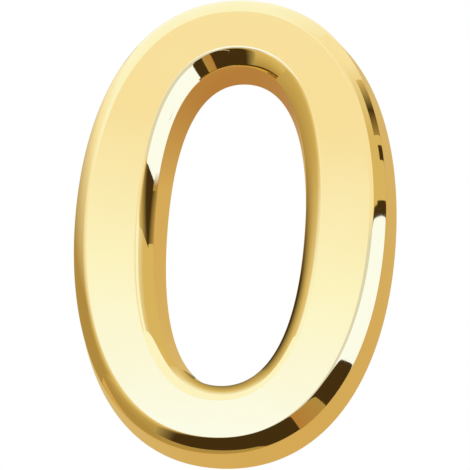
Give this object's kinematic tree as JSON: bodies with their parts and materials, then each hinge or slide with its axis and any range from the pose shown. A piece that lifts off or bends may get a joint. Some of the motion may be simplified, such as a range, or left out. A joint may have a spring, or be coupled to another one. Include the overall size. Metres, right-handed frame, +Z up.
{
  "type": "door number",
  "caption": "Oval figure 0 for a door: a gold-plated plastic moulding with a flat bevelled front, drafted walls and a hollow back that is stuck on.",
  "frame": {"origin": "centre of the figure on the plane of its back rim", "axes": "+Z up the figure, +X to its right seen from the front, front towards -Y and back rim facing +Y"},
  "size_m": [0.034, 0.0065, 0.05],
  "materials": {
    "gold_plating": "bright gold electroplating on moulded plastic"
  },
  "bodies": {
    "root": {"door_number": "gold_plating"}
  },
  "joints": []
}
